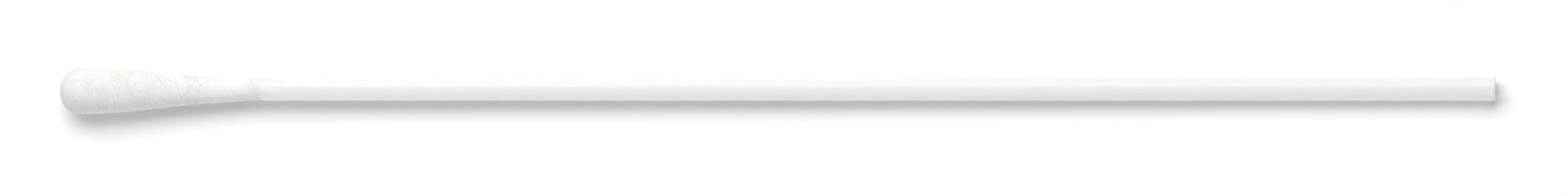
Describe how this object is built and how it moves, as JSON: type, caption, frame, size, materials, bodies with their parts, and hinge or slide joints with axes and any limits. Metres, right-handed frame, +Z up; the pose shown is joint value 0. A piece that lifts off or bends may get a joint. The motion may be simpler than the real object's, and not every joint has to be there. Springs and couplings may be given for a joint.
{
  "type": "fibre-tipped specimen swab",
  "caption": "Straight plastic stick with a wound fibre bud on one end and a square-cut plain end, for taking and carrying a laboratory specimen.",
  "frame": {"origin": "on the surface that the swab lies on, midway between the tip of the bud and the plain end, under the axis of the shaft", "axes": "+X along the swab from the bud to the plain end, +Z up from the surface, +Y to the left when looking from the bud to the plain end"},
  "size_m": [0.1524, 0.0049, 0.0047],
  "materials": {
    "shaft_plastic": "opaque white extruded polystyrene, satin, with faint lengthwise draw lines",
    "bud_fibre": "white polyester staple fibre, wound, soft and dull"
  },
  "bodies": {
    "root": {"shaft": "shaft_plastic", "fibre_bud": "bud_fibre"}
  },
  "joints": []
}
